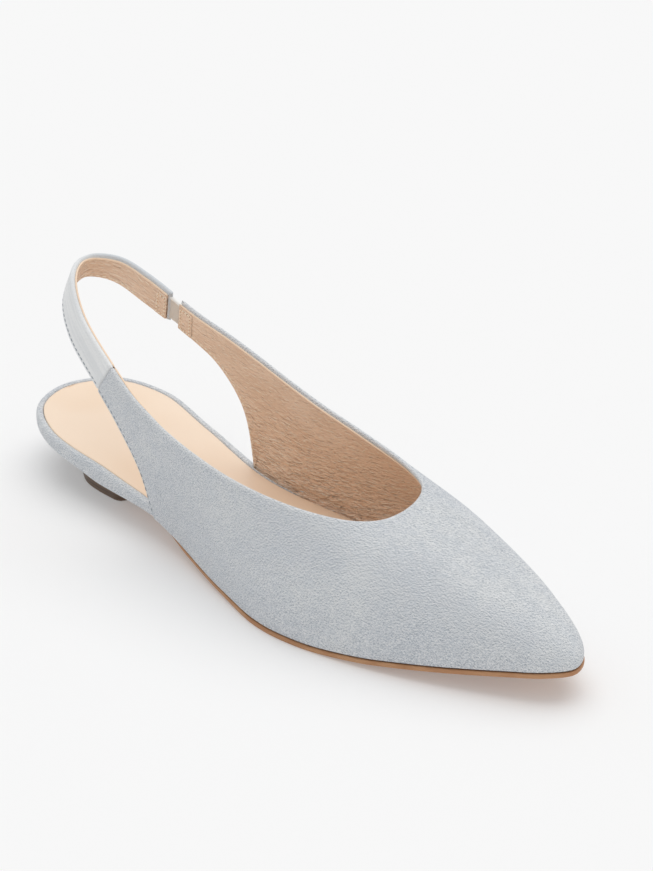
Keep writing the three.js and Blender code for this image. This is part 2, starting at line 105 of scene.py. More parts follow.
# Heights along the shoe: sole and insole are shares of HEEL_HEIGHT above the forefoot's level,
# spring is a share of TOE_SPRING, and thick is a share of SOLE_THICKNESS.
LEVELS = table("""
    at    sole  insole spring thick
    0.000 0.895  1.000   0.00 0.625
    0.124 0.830  0.880   0.00 0.625
    0.188 0.702  0.790   0.00 0.625
    0.237 0.561  0.730   0.00 0.625
    0.301 0.538  0.600   0.00 0.625
    0.346 0.503  0.500   0.00 0.625
    0.372 0.433  0.445   0.00 0.625
    0.395 0.351  0.395   0.00 0.656
    0.447 0.199  0.285   0.00 0.800
    0.508 0.088  0.165   0.00 0.920
    0.564 0.029  0.075   0.00 1.000
    0.620 0.000  0.000   0.00 1.000
    0.695 0.000  0.000   0.00 1.000
    0.771 0.000  0.000   0.13 1.000
    0.827 0.000  0.000   0.33 1.000
    0.921 0.000  0.000   0.70 1.000
    1.000 0.000  0.000   1.00 1.000
""")

# How far pieces lie inside the outline: heel and shank are shares of HEEL_SET_IN, ledge a share
# of SOLE_LEDGE, nose a share of NOSE_DRAW_IN, and sock the insole's share of INSOLE_THICKNESS.
INSETS = table("""
    at    heel shank ledge sock  nose
    0.000 2.00  0.65     0 0.364 0.00
    0.060 1.75  0.65     0 0.364 0.00
    0.120 1.38  0.65     0 0.364 0.00
    0.165 1.08  0.65     0 0.364 0.00
    0.205 1.00  0.65     0 0.364 0.00
    0.301 1.00  0.62     0 0.364 0.00
    0.346 1.00  0.42     0 0.364 0.00
    0.395 1.00  0.10     0 0.400 0.00
    0.447 1.00  0.00     0 0.545 0.00
    0.508 1.00  0.00     0 0.727 0.00
    0.620 1.00  0.00     1 1.000 0.00
    0.800 1.00  0.00     1 1.000 0.15
    1.000 1.00  0.00     1 1.000 1.00
""")

# The edges of upper and strap: foot and top are shares of LENGTH for the lower and upper edge,
# out shares of HALF_WIDTH, up a share of the rise from throat to strap, and fall the height
# between the edges in strap widths. From the corner row on, the lower edge lies on the sole.
CORNER_ROW = 7
SEAM_ROW = 4
STRAP_END_ROW = -3.49
FREE_EDGE = table("""
    row foot  out    fall
      6 0.331  0.738 2.29
      5 0.282  0.732 1.31
      4 0.226  0.665 1.08
      3 0.134  0.523 0.97
      2 0.084  0.350 1.00
      1 0.065  0.200 0.93
      0 0.058  0.008 0.79
     -1 0.066 -0.160 0.86
     -2 0.089 -0.299 0.92
     -3 0.132 -0.436 1.07
     -4 0.226 -0.530 1.07
     -5 0.278 -0.556 1.22
     -6 0.325 -0.579 2.06
""")
TOP_EDGE = table("""
    top   out    up
    0.070  0.010  0.995
    0.078  0.158  0.971
    0.105  0.340  0.887
    0.160  0.515  0.689
    0.263  0.688  0.441
    0.323  0.766  0.302
    0.368  0.805  0.228
    0.402  0.826  0.173
    0.466  0.844  0.102
    0.545  0.839  0.051
    0.620  0.748  0.013
    0.677  0.603 -0.009
    0.710  0.395 -0.041
    0.725  0.195 -0.051
    0.729  0.013 -0.037
    0.728 -0.130 -0.011
    0.721 -0.260  0.003
    0.712 -0.353  0.013
    0.698 -0.447  0.018
    0.668 -0.551  0.018
    0.620 -0.649  0.018
    0.545 -0.691  0.064
    0.466 -0.655  0.169
    0.395 -0.621  0.300
    0.353 -0.592  0.393
    0.301 -0.556  0.499
    0.237 -0.504  0.617
    0.147 -0.418  0.845
    0.102 -0.306  0.966
    0.075 -0.135  1.000
""")
TOE_ROW = len(TOP_EDGE["top"]) // 2
FEATHER = table("""
    row outer inner
      7 0.361 0.348
      8 0.444 0.444
      9 0.545 0.545
     10 0.639 0.639
     11 0.733 0.733
     12 0.835 0.835
     13 0.932 0.932
     14 0.981 0.981
     15 1.000 1.000
""")

# The curve of each section between its edges, by row: it leaves the lower edge rising by rise of
# its height and leaning in by lean of its run, with a bulge in shares of its height, and meets the
# upper edge from back of its run and drop of its height away. The inner side has its own two.
SECTIONS = table("""
    row lean rise bulge back drop innerBulge innerDrop
     0 0.33 0.33 0.03 0.33 0.33 0.03 0.33
     4 0.33 0.33 0.04 0.33 0.33 0.04 0.33
     6 0.30 0.34 0.05 0.33 0.33 0.05 0.33
     7 0.22 0.35 0.06 0.38 0.34 0.06 0.34
     8 0.10 0.37 0.08 0.45 0.35 0.10 0.30
     9 0.00 0.38 0.08 0.60 0.36 0.13 0.27
    10 0.00 0.40 0.07 0.56 0.32 0.15 0.20
    11 0.00 0.42 0.05 0.52 0.27 0.15 0.15
    12 0.00 0.44 0.03 0.50 0.23 0.14 0.11
    13 0.00 0.45 0.02 0.48 0.21 0.12 0.09
    14 0.00 0.34 0.06 0.48 0.23 0.09 0.18
    15 0.00 0.28 0.10 0.48 0.26 0.10 0.26
""")


# Curves
def along(x, y):
    """A smooth value along a table: monotone from row to row and level beyond both ends."""
    x = np.asarray(x, float)
    y = np.asarray(y, float)
    slopes = np.diff(y) / np.diff(x)
    before = np.concatenate([slopes[:1], slopes])
    after = np.concatenate([slopes, slopes[-1:]])
    total = np.where(before * after > 0, before + after, 1)
    tangents = np.where(before * after > 0, 2 * before * after / total, 0)

    def value(at):
        clamped = np.clip(at, x[0], x[-1])
        i = np.clip(np.searchsorted(x, clamped, side="right") - 1, 0, len(x) - 2)
        width = x[i + 1] - x[i]
        t = (clamped - x[i]) / width
        leave = t * (1 - t) ** 2 * width * tangents[i]
        arrive = t * t * (1 - t) * width * tangents[i + 1]
        return y[i] + (y[i + 1] - y[i]) * t * t * (3 - 2 * t) + leave - arrive

    return value


def columns(rows, key, names):
    """A smooth function of the key column for each named column of a table."""
    return [along(rows[key], rows[name]) for name in names.split()]


def smoothstep(value, start, end):
    t = np.clip((value - start) / (end - start), 0, 1)
    return t * t * (3 - 2 * t)


def unit(vectors):
    return vectors / np.linalg.norm(vectors, axis=-1, keepdims=True)


def spot(forward, outward, up):
    """Places points told by their distances forward, outward and up."""
    parts = np.broadcast_arrays(-np.asarray(outward, float), CENTRE - np.asarray(forward), up)
    return np.stack(parts, axis=-1)


class Spline:
    """A centripetal Catmull-Rom curve through points, told by a share from 0 to 1 of its points."""

    def __init__(self, points, closed):
        p = np.asarray(points, float)
        ends = (p[-1:], p[:2]) if closed else (2 * p[:1] - p[1:2], 2 * p[-1:] - p[-2:-1])
        p = np.vstack([ends[0], p, ends[1]])
        gaps = np.sqrt(np.linalg.norm(np.diff(p, axis=0), axis=1))[:, None]
        before, span, after = gaps[:-2], gaps[1:-1], gaps[2:]
        p0, p1, p2, p3 = p[:-3], p[1:-2], p[2:-1], p[3:]
        leave = ((p1 - p0) / before - (p2 - p0) / (before + span)) * span + p2 - p1
        arrive = ((p3 - p2) / after - (p3 - p1) / (span + after)) * span + p2 - p1
        square = 3 * (p2 - p1) - 2 * leave - arrive
        cube = 2 * (p1 - p2) + leave + arrive
        self.terms = (p1, leave, square, cube)
        self.closed = closed

    def place(self, share):
        count = len(self.terms[0])
        place = np.asarray(share, float) * count
        if self.closed:
            place = np.mod(place, count)
        i = np.clip(np.floor(place).astype(int), 0, count - 1)
        return i, (place - i)[..., None]

    def at(self, share):
        i, w = self.place(share)
        a, b, c, d = (term[i] for term in self.terms)
        return a + w * (b + w * (c + w * d))

    def ahead(self, share):
        i, w = self.place(share)
        b, c, d = (term[i] for term in self.terms[1:])
        return unit(b + w * (2 * c + w * 3 * d))


# The outline and the levels of the sole unit
TOE_INDEX = len(OUTLINE["at"]) + 1
outline_curve = Spline(
    np.vstack([
        spot(0, [HEEL_POINT_OUT * HALF_WIDTH], 0),
        spot(OUTLINE["at"] * LENGTH, OUTLINE["outer"] * HALF_WIDTH, 0),
        spot(LENGTH, [TOE_POINT_OUT * HALF_WIDTH], 0),
        spot(OUTLINE["at"] * LENGTH, -OUTLINE["inner"] * HALF_WIDTH, 0)[::-1],
    ]),
    True,
)
index_at = along([0, *OUTLINE["at"], 1], range(TOE_INDEX + 1))


def share_of(points):
    return (CENTRE - points[..., 1]) / LENGTH


def outline_point(index, inset, height):
    """A point of the outline, drawn in and lifted by functions of its place and side."""
    share = np.mod(np.asarray(index, float) / (2 * TOE_INDEX), 1)
    point = outline_curve.at(share)
    ahead = outline_curve.ahead(share)
    distance = inset(share_of(point), share < 0.5)
    point[..., 0] -= ahead[..., 1] * distance
    point[..., 1] += ahead[..., 0] * distance
    point[..., 2] = height(share_of(point))
    return point


sole_share, insole_share, spring_share, thick_share = columns(
    LEVELS, "at", "sole insole spring thick"
)
heel_share, shank_share, ledge_share, sock_share, nose_share = columns(
    INSETS, "at", "heel shank ledge sock nose"
)


def sole_bottom(at):
    return sole_share(at) * HEEL_HEIGHT + spring_share(at) * TOE_SPRING


def sole_top(at):
    return sole_bottom(at) + thick_share(at) * SOLE_THICKNESS


def insole_top(at):
    forefoot = SOLE_THICKNESS + GAP + INSOLE_THICKNESS
    return forefoot + insole_share(at) * HEEL_HEIGHT + spring_share(at) * TOE_SPRING


def insole_bottom(at):
    return insole_top(at) - sock_share(at) * INSOLE_THICKNESS


def upper_inset(at, outer_side):
    return ledge_share(at) * SOLE_LEDGE


# The seat meets the outline behind the quarters and tucks inside their wall from there on.
TUCK_START = 0.008
TUCK_END = -0.004
LINING_CLEAR = 0.04


def seat_inset(at, outer_side):
    corner = np.where(outer_side, FEATHER["outer"][0], FEATHER["inner"][0])
    tucked = smoothstep(at, corner - TUCK_START, corner - TUCK_END)
    return tucked * (upper_inset(at, outer_side) + UPPER_WALL + LINING_CLEAR)


# The sock lies inside the seat's rim, which narrows out further forward along the lining.
NARROW_START = 0.200
RIM_FALL_START = 0.42
RIM_FALL_END = 0.48
FRONT_RIM = 1.0
SOCK_CLEAR = 0.2


def sock_inset(at, outer_side):
    narrowed = smoothstep(at, NARROW_START, FEATHER["inner"][0])
    rim = FRONT_RIM * (1 - smoothstep(at, FEATHER["inner"][0], RIM_FALL_END))
    covered = upper_inset(at, outer_side) + UPPER_WALL + rim
    behind = RIM_WIDTH + SOCK_CLEAR
    return behind + (covered - behind) * narrowed + nose_share(at) * NOSE_DRAW_IN


# The sections of upper and strap
def rise_of(up):
    return THROAT_HEIGHT + up * (STRAP_HEIGHT - THROAT_HEIGHT)


def feather(index):
    return outline_point(index, upper_inset, lambda at: sole_top(at) + GAP)


def free_edge_points():
    top = TOP_EDGE["up"][FREE_EDGE["row"].astype(int)]
    low = rise_of(top) - FREE_EDGE["fall"] * STRAP_WIDTH
    return spot(FREE_EDGE["foot"] * LENGTH, FREE_EDGE["out"] * HALF_WIDTH, low)


top_curve = Spline(
    spot(TOP_EDGE["top"] * LENGTH, TOP_EDGE["out"] * HALF_WIDTH, rise_of(TOP_EDGE["up"])), True
)
low_curve = Spline(
    np.vstack([
        feather([index_at(FEATHER["outer"][0])]),
        free_edge_points(),
        feather([-index_at(FEATHER["inner"][0])]),
    ]),
    False,
)
outer_foot = along([*range(1, 7), *FEATHER["row"]], [*FREE_EDGE["foot"][5::-1], *FEATHER["outer"]])
inner_foot = along([*range(1, 7), *FEATHER["row"]], [*FREE_EDGE["foot"][7:], *FEATHER["inner"]])
shape_of = {name: along(SECTIONS["row"], SECTIONS[name]) for name in SECTIONS}


def foot_point(row):
    """The lower end of the section at each signed row."""
    size = np.abs(row)
    on_edge = low_curve.at(np.clip((CORNER_ROW - row) / (2 * CORNER_ROW), 0, 1))
    index = np.where(row > 0, index_at(outer_foot(size)), -index_at(inner_foot(size)))
    return np.where((size <= CORNER_ROW)[..., None], on_edge, feather(index))


def controls(turn):
    """The four control points of the section at each row. Past the toe, rows count on."""
    row = np.where(turn > TOE_ROW, turn - 2 * TOE_ROW, turn)
    size = np.abs(row)
    foot = foot_point(row)
    top = top_curve.at(row / (2 * TOE_ROW))
    ahead = top_curve.ahead(row / (2 * TOE_ROW))
    outward = unit(np.stack([ahead[..., 1], -ahead[..., 0], 0 * row], axis=-1))
    height = (top - foot)[..., 2:]
    run = (top - foot) * (1, 1, 0)
    up = height * (0, 0, 1)
    inner = row < 0
    bulge = np.where(inner, shape_of["innerBulge"](size), shape_of["bulge"](size))[..., None]
    drop = np.where(inner, shape_of["innerDrop"](size), shape_of["drop"](size))[..., None]
    lean, rise, back = (shape_of[name](size)[..., None] for name in ("lean", "rise", "back"))
    start = foot + run * lean + outward * bulge * height + up * rise
    end = top - run * back - up * drop
    return np.stack([foot, start, end, top], axis=1)


LENGTH_SAMPLES = np.linspace(0, 1, 81)


def bezier(ends, t):
    a, b, c, d = (ends[:, None, i] for i in range(4))
    t = t[..., None]
    s = 1 - t
    point = s**3 * a + 3 * s * s * t * b + 3 * s * t * t * c + t**3 * d
    ahead = s * s * (b - a) + 2 * s * t * (c - b) + t * t * (d - c)
    return point, unit(ahead)


class Sections:
    """The section curves at an array of rows, each measured along its length."""

    def __init__(self, rows):
        self.ends = controls(np.asarray(rows, float))
        samples, _ = bezier(self.ends, LENGTH_SAMPLES[None, :])
        steps = np.linalg.norm(np.diff(samples, axis=1), axis=2)
        self.lengths = np.pad(np.cumsum(steps, axis=1), ((0, 0), (1, 0)))
        self.length = self.lengths[:, -1]

    def at(self, shares):
        """Points and upward directions at shares of each section, straight on beyond its ends."""
        inside = np.clip(shares, 0, 1)
        wanted = inside * self.length[:, None]
        t = np.stack([np.interp(w, k, LENGTH_SAMPLES) for w, k in zip(wanted, self.lengths)])
        point, ahead = bezier(self.ends, t)
        beyond = (shares - inside) * self.length[:, None]
        return point + ahead * beyond[..., None], ahead


ROW_STEP = 0.02
LEVEL_SHARE = 0.1


def surface(rows, distances):
    """Points of the outer face and their outward directions, at rows and distances up from the
    lower edge. Along the lower edge the wall stands square, so its outward direction is level."""
    rows = np.asarray(rows, float)
    here = Sections(rows)
    shares = distances / here.length[:, None]
    point, upward = here.at(shares)
    after, _ = Sections(rows + ROW_STEP).at(shares)
    before, _ = Sections(rows - ROW_STEP).at(shares)
    outward = np.cross(after - before, upward)
    outward[..., 2] *= np.clip(shares / LEVEL_SHARE, 0, 1)
    return point, unit(outward)


def length_at(rows):
    return Sections(rows).length


def middle_line(rows):
    """How far along the middle of the wall each row lies."""
    points, _ = Sections(rows).at(np.full((len(rows), 1), 0.5))
    steps = np.linalg.norm(np.diff(points[:, 0], axis=0), axis=1)
    return np.concatenate([[0], np.cumsum(steps)])


ROW_SAMPLES = 1500


def rows_between(start, end, spacing):
    """Rows whose sections lie about spacing apart, which may depend on the row."""
    samples = np.linspace(start, end, ROW_SAMPLES)
    travelled = middle_line(samples)
    density = 1 / np.broadcast_to(spacing(samples) if callable(spacing) else spacing, samples.shape)
    steps = np.diff(travelled) * (density[1:] + density[:-1]) / 2
    counted = np.concatenate([[0], np.cumsum(steps)])
    rows = np.interp(np.linspace(0, counted[-1], int(counted[-1]) + 2), counted, samples)
    for corner in (CORNER_ROW, 2 * TOE_ROW - CORNER_ROW):
        if start < corner < end:
            rows[np.argmin(np.abs(rows - corner))] = corner
    return rows


def row_after(row, distance):
    """The row that lies a distance along the wall from another, measured on its lower edge."""
    here, before = foot_point(np.array([row, row - 1]))
    return row + distance / np.linalg.norm(here - before)


ARM_END_ROW = row_after(STRAP_END_ROW, -ELASTIC_LENGTH)
UPPER_END = 2 * TOE_ROW + ARM_END_ROW


# Meshes
def put(name, data):
    """A new object of the scene."""
    thing = bpy.data.objects.new(name, data)
    bpy.context.scene.collection.objects.link(thing)
    return thing


def make_piece(name, points, faces, look, cloth=None):
    """A smooth mesh from points in millimetres, riding on the shoe's one body."""
    mesh = bpy.data.meshes.new(name)
    mesh.from_pydata((np.asarray(points) * MM).tolist(), [], faces)
    mesh.shade_smooth()
    if cloth is not None:
        place = mesh.attributes.new("cloth", "FLOAT_VECTOR", "POINT")
        place.data.foreach_set("vector", (cloth * MM).astype(np.float32).ravel())
    mesh.materials.append(look.material)
    piece = put(name, mesh)
    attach(piece, "root")
    return piece


def loop_faces(levels, count):
    """Quads between closed loops of equally many points."""
    level = np.arange(levels - 1)[:, None] * count
    i = np.arange(count)[None, :]
    after = (i + 1) % count
    quads = np.stack([level + i, level + after, level + count + after, level + count + i], axis=-1)
    return quads.reshape(-1, 4).tolist()


def end_faces(levels, across, start, first, flipped):
    """Faces that close a loop between its two sides, level by level, and across its two ends. Its
    first side starts at start, and the loop's own points at first."""
    last = 2 * levels + across - 1
    faces = [[i, i + 1, last - i - 1, last - i] for i in range(levels - 1)]
    faces += [list(range(levels - 1, levels + across + 1)), list(range(last, last + across + 2))]
    count = 2 * (levels + across)
    faces = [[first + (start + i) % count for i in face] for face in faces]
    return [face[::-1] for face in faces] if flipped else faces


EDGE_ARC = np.radians([16, 34, 52, 70, 90])
THINNEST_END = 0.2
CREST_BAND = 1.1


def wall(name, rows, look, skin, back, rises, low=0, high=0, low_round=0.8, top_round=0.8,
         end_round=0.4, skin_lift=None, back_lift=None, flow=None):
    """A wall with round edges between two depths under the outer face. low and high are where its
    edges lie from those of the section, up being positive, and the lifts shape its two faces. flow
    gives the grain's two coordinates where they aren't the run along the wall and the way up."""
    rows = np.asarray(rows, float)
    travelled = middle_line(rows)
    to_end = np.minimum(travelled, travelled[-1] - travelled) / end_round
    pinch = np.sqrt(1 - (1 - np.clip(to_end, 0, 1)) ** 2) * (1 - THINNEST_END) + THINNEST_END
    bottom = np.broadcast_to(low, rows.shape) + (1 - pinch) * end_round
    top = length_at(rows) + np.broadcast_to(high, rows.shape) - (1 - pinch) * end_round
    lower = bottom[:, None] + low_round * (1 - np.cos(EDGE_ARC))
    upper = top[:, None] - top_round * (1 - np.cos(EDGE_ARC))[::-1]
    between = np.linspace(0, 1, rises + 2)[1:-1]
    middle = lower[:, -1:] + (upper[:, :1] - lower[:, -1:]) * between
    distances = np.hstack([bottom[:, None], lower, middle, upper, top[:, None]])
    swell = np.concatenate([[0], np.sin(EDGE_ARC), np.ones(rises), np.sin(EDGE_ARC)[::-1], [0]])
    point, outward = surface(rows, distances)
    skin, back = (np.broadcast_to(depth, rows.shape)[:, None] for depth in (skin, back))
    centre = (skin + back) / 2
    half = (back - skin) / 2 * swell[None, :] * pinch[:, None]
    place = np.broadcast_to(rows[:, None], distances.shape)
    lifted = skin_lift(point, place, distances) * swell**2 if skin_lift else 0 * half
    sunk = back_lift(point, place, distances) * swell**2 if back_lift else 0 * half
    outer = point + outward * (half - centre + lifted)[..., None]
    inner = point - outward * (half + centre + sunk)[..., None]
    loops = np.concatenate([outer, inner[:, -2:0:-1]], axis=1)
    count = loops.shape[1]
    run = np.broadcast_to(travelled[:, None], distances.shape)
    # How near each point lies to the top edge, which the suede uses for a painted highlight along its
    # crest.
    near_top = np.exp(-(((top[:, None] - distances) / CREST_BAND) ** 2))
    grain = flow(point) if flow else (run, distances)
    cloth = np.stack([*grain, near_top], axis=-1)
    cloth = np.concatenate([cloth, cloth[:, -2:0:-1]], axis=1)
    faces = loop_faces(len(rows), count)
    side = count // 2 - 1
    faces += end_faces(side, 1, 1, 0, False)
    faces += end_faces(side, 1, 1, (len(rows) - 1) * count, True)
    return make_piece(name, loops.reshape(-1, 3), faces, look, cloth.reshape(-1, 3))


def board(name, start, end, steps, levels, look, across=12, dome=0):
    """A flat piece inside the outline from one index to another. Its levels run up its side, each
    an inset and a height, and the top dips or rises by dome between them."""
    index = np.linspace(start, end, steps)
    sides = [
        np.stack([outline_point(sign * index, inset, height) for inset, height in levels], axis=1)
        for sign in (1, -1)
    ]
    share = np.linspace(0, 1, across + 2)[1:-1][None, :, None]
    lid = sides[0][:, -1:] * (1 - share) + sides[1][:, -1:] * share
    lid[..., 2] += dome * 4 * (share * (1 - share))[..., 0]
    base = sides[1][:, :1] * (1 - share) + sides[0][:, :1] * share
    loops = np.concatenate([sides[0], lid, sides[1][:, ::-1], base], axis=1)
    count = loops.shape[1]
    faces = loop_faces(steps, count)
    faces += end_faces(len(levels), across, 0, 0, True)
    faces += end_faces(len(levels), across, 0, (steps - 1) * count, False)
    return make_piece(name, loops.reshape(-1, 3), faces, look)


# Materials
MIX_FIRST = 6
MIX_SECOND = 7
MIX_RESULT = 2
SHEEN = {"Sheen_Weight": 0.25, "Sheen_Roughness": 0.45}


def linear(color):
    """A colour given as it looks on screen, from 0 to 255, as an opaque one in linear light."""
    parts = (c / 255 for c in color)
    return (*(c / 12.92 if c <= 0.04045 else ((c + 0.055) / 1.055) ** 2.4 for c in parts), 1)


class Look:
    """A material built step by step round one shader, in layers of colour and of relief."""

    def __init__(self, name, color, roughness, specular, slot=None, **sockets):
        self.slot = slot or name
        self.material = bpy.data.materials.new(name)
        self.material.use_nodes = True
        self.tree = self.material.node_tree
        self.shader = self.tree.nodes["Principled BSDF"]
        self.color = linear(color)
        sockets.update(Base_Color=self.color, Roughness=roughness, Specular_IOR_Level=specular)
        for socket, value in sockets.items():
            self.shader.inputs[socket.replace("_", " ")].default_value = value
        self.place = self.tree.nodes.new("ShaderNodeTexCoord").outputs["Object"]
        self.normal = None

    def add(self, kind, inputs, **settings):
        """The outputs of a new node, whose inputs are set to values or linked."""
        node = self.tree.nodes.new("ShaderNode" + kind)
        for name, value in settings.items():
            setattr(node, name, value)
        for socket, value in inputs.items():
            if isinstance(value, bpy.types.NodeSocket):
                self.tree.links.new(value, node.inputs[socket])
            else:
                node.inputs[socket].default_value = value
        return node.outputs

    def cloth(self):
        return self.add("Attribute", {}, attribute_name="cloth")["Vector"]

    def stretched(self, sizes, place=None, turn=(0, 0, 0), shift=(0, 0, 0)):
        """Coordinates in which one unit is sizes millimetres along each axis."""
        inputs = {
            "Vector": place or self.place,
            "Location": [step * MM for step in shift],
            "Rotation": turn,
            "Scale": [size * MM for size in sizes],
        }
        return self.add("Mapping", inputs, vector_type="TEXTURE")["Vector"]

    def noise(self, sizes, place=None, turn=(0, 0, 0), shift=(0, 0, 0), detail=2, roughness=0.5,
              distortion=0):
        inputs = {
            "Vector": self.stretched(sizes, place, turn, shift),
            "Scale": 1,
            "Detail": detail,
            "Roughness": roughness,
            "Distortion": distortion,
        }
        return self.add("TexNoise", inputs)["Fac"]

    def flank_light_and_shade(self, sizes, step, **settings):
        """Noise less the same noise a step aside, towards the light: flanks of the relief that face
        the light give painted light, and the others painted shade.
        """
        aside = self.noise(sizes, shift=step, **settings)
        return self.math("SUBTRACT", aside, self.noise(sizes, **settings))

    def math(self, operation, first, second):
        return self.add("Math", {0: first, 1: second}, operation=operation)["Value"]

    def map(self, value, start, end, low=0, high=1):
        """A number that goes smoothly from low to high as value goes from start to end."""
        inputs = {"Value": value, "From Min": start, "From Max": end, "To Min": low, "To Max": high}
        return self.add("MapRange", inputs, interpolation_type="SMOOTHSTEP")["Result"]

    def part(self, axis, place=None):
        return self.add("SeparateXYZ", {"Vector": place or self.place})[axis]

    def layer(self, color, value, start, end, low=0, high=1):
        """Lays a colour over those before it, with a share that goes from low to high."""
        share = self.map(value, start, end, low, high)
        inputs = {"Factor": share, MIX_FIRST: self.color, MIX_SECOND: linear(color)}
        self.color = self.add("Mix", inputs, data_type="RGBA")[MIX_RESULT]
        self.tree.links.new(self.color, self.shader.inputs["Base Color"])

    def gloss(self, roughness):
        self.tree.links.new(roughness, self.shader.inputs["Roughness"])

    def bump(self, height, depth):
        """Relief as deep as depth millimetres, over what was there before."""
        inputs = {"Height": height, "Distance": depth * MM}
        if self.normal:
            inputs["Normal"] = self.normal
        self.normal = self.add("Bump", inputs)["Normal"]
        self.tree.links.new(self.normal, self.shader.inputs["Normal"])


def suede():
    """Brushed pale blue-grey suede: soft patches, a mottled nap, short fibres lying one way with
    painted light and shade on their flanks, and a painted highlight along the rolled top edge.
    """
    look = Look("suede", (217, 221, 226), 0.95, 0.15, **SHEEN)
    grain = {"detail": 3, "roughness": 0.75, "turn": (0.3, 0.2, 0.8)}
    nap = look.noise((0.56, 0.72, 0.56), **grain)
    flank_light_and_shade = look.flank_light_and_shade((0.56, 0.72, 0.56), (0.12, 0.08, 0.15), **grain)
    clouds = look.noise((5, 7, 5), detail=3, distortion=0.6)
    near_top = look.part("Z", look.cloth())
    look.layer((229, 232, 234), look.noise((30, 44, 26)), 0.36, 0.66)
    look.layer((206, 213, 221), clouds, 0.34, 0.68, 0, 0.4)
    # Painted highlight along the rolled top edge, where the crest catches the light.
    look.layer((240, 242, 243), near_top, 0, MM, 0, 0.6)
    # Painted light on the fibres' flanks that face the light, and painted shade on the others.
    look.layer((254, 254, 254), flank_light_and_shade, 0, 0.14, 0, 0.75)
    look.layer((150, 160, 170), flank_light_and_shade, -0.14, 0, 0.68, 0)
    look.bump(nap, 0.5)
    return look


def strap_suede():
    """Smoother strap suede: paler and greyer on the outer side, with soft lighter bands along its
    length that are painted sheen on its lengthwise creases.
    """
    look = Look("strap_suede", (232, 234, 235), 0.9, 0.15, **SHEEN)
    place = look.cloth()
    nap = look.noise((0.9, 0.5, 0.5), place, roughness=0.6)
    # Painted sheen: lighter bands along the strap's lengthwise creases.
    look.layer((243, 244, 244), look.noise((40, 2.2, 5), place), 0.35, 0.68)
    look.layer((200, 207, 214), look.part("X"), -0.008, 0.014, 0, 0.6)
    look.layer((200, 205, 210), nap, 0.3, 0.5, 0.25, 0)
    look.bump(nap, 0.25)
    return look


def lining_leather():
    """Thin tan lining leather: fine grain and wavy wrinkles, deeper near the sole, with painted light
    and shade on the wrinkles' flanks.
    """
    look = Look("lining_leather", (238, 208, 182), 0.5, 0.35)
    place = look.cloth()
    low_down = look.map(look.part("Z"), 0.01, 0.05, 1, 0.4)
    folds = {"place": place, "roughness": 0.55, "distortion": 0.9}
    wrinkles = look.noise((3.8, 1.2, 4), **folds)
    flank_light_and_shade = look.math("MULTIPLY", look.flank_light_and_shade((3.8, 1.2, 4), (0, 0.4, 0), **folds), low_down)
    grain = look.noise((1.5, 0.62, 1), place, distortion=0.6)
    look.layer((246, 219, 195), look.noise((22, 22, 14)), 0.35, 0.7)
    # Painted light on the wrinkles' flanks that face the light, and painted shade on the others,
    # stronger near the sole.
    look.layer((255, 242, 226), flank_light_and_shade, 0, 0.12, 0, 0.9)
    look.layer((192, 152, 122), flank_light_and_shade, -0.14, 0, 0.55, 0)
    look.layer((204, 165, 135), grain, 0.3, 0.5, 0.18, 0)
    look.bump(look.math("MULTIPLY", wrinkles, low_down), 1.6)
    look.bump(grain, 0.35)
    return look


def sock_leather():
    """Smooth peach-tan sock leather with faint pores."""
    look = Look("sock_leather", (246, 220, 193), 0.42, 0.3)
    pores = look.add("TexVoronoi", {"Vector": look.stretched((0.7, 0.9, 0.7)), "Scale": 1})["Distance"]
    look.layer((251, 229, 206), look.noise((38, 60, 20)), 0.3, 0.7)
    look.gloss(look.map(pores, 0, 0.8, 0.46, 0.38))
    look.bump(pores, 0.02)
    return look


def sole_leather():
    """Tan sole leather, with fibres in its cut edge."""
    look = Look("sole_leather", (184, 134, 96), 0.5, 0.35)
    fibres = look.noise((5, 5, 0.22), detail=3, roughness=0.6)
    look.layer((198, 152, 113), look.noise((9, 9, 9)), 0.3, 0.7)
    look.layer((160, 112, 76), fibres, 0.35, 0.6, 0.35, 0)
    look.bump(fibres, 0.05)
    return look


def heel_leather():
    """Dark brown stacked leather: thin layers, polished on the outside."""
    look = Look("heel_leather", (84, 67, 55), 0.42, 0.4)
    layers = look.noise((60, 60, 0.9), roughness=0.7)
    look.layer((114, 93, 77), layers, 0.35, 0.65)
    look.bump(layers, 0.08)
    look.bump(look.noise((1.6, 1.6, 0.25)), 0.03)
    return look


def webbing():
    """Pale woven elastic with ribs along its length."""
    look = Look("webbing", (238, 231, 222), 0.75, 0.2, "elastic_webbing")
    place = look.cloth()
    across = {"Vector": look.stretched((1.1, 1.1, 1.1), place), "Scale": 1}
    ribs = look.add("TexWave", across, bands_direction="Y")["Fac"]
    look.layer((212, 202, 190), ribs, 0, 1, 0, 0.35)
    look.bump(ribs, 0.09)
    look.bump(look.noise((0.35, 0.3, 0.3), place, detail=1), 0.05)
    return look


def plain(name, slot, color, roughness, specular, grain, depth):
    """One colour with a fine grain."""
    look = Look(name, color, roughness, specular, slot)
    look.bump(look.noise(grain), depth)
    return look


SUEDE = suede()
STRAP_SUEDE = strap_suede()
LINING = lining_leather()
# The lining's edge is painted brighter than the lining: a painted highlight along it.
LINING_EDGE = plain(
    "lining_edge", "lining_leather", (252, 226, 200), 0.6, 0.25, (0.4, 0.4, 0.4), 0.05
)
SOCK = sock_leather()
SOLE = sole_leather()
# Dark edge paint in the joint between upper and sole, and painted shade in its gap.
SEAM = plain("seam_paint_and_shade", "heel_leather", (96, 70, 52), 0.7, 0.5, (0.5, 0.5, 0.3), 0.05)
HEEL = heel_leather()
WEBBING = webbing()
WAXED = (0.55, 0.3, (0.25, 0.25, 0.1), 0.04)
DARK_THREAD = plain("dark_thread", "stitching", (140, 149, 160), *WAXED)
TAN_THREAD = plain("tan_thread", "lining_stitching", (253, 238, 216), *WAXED)
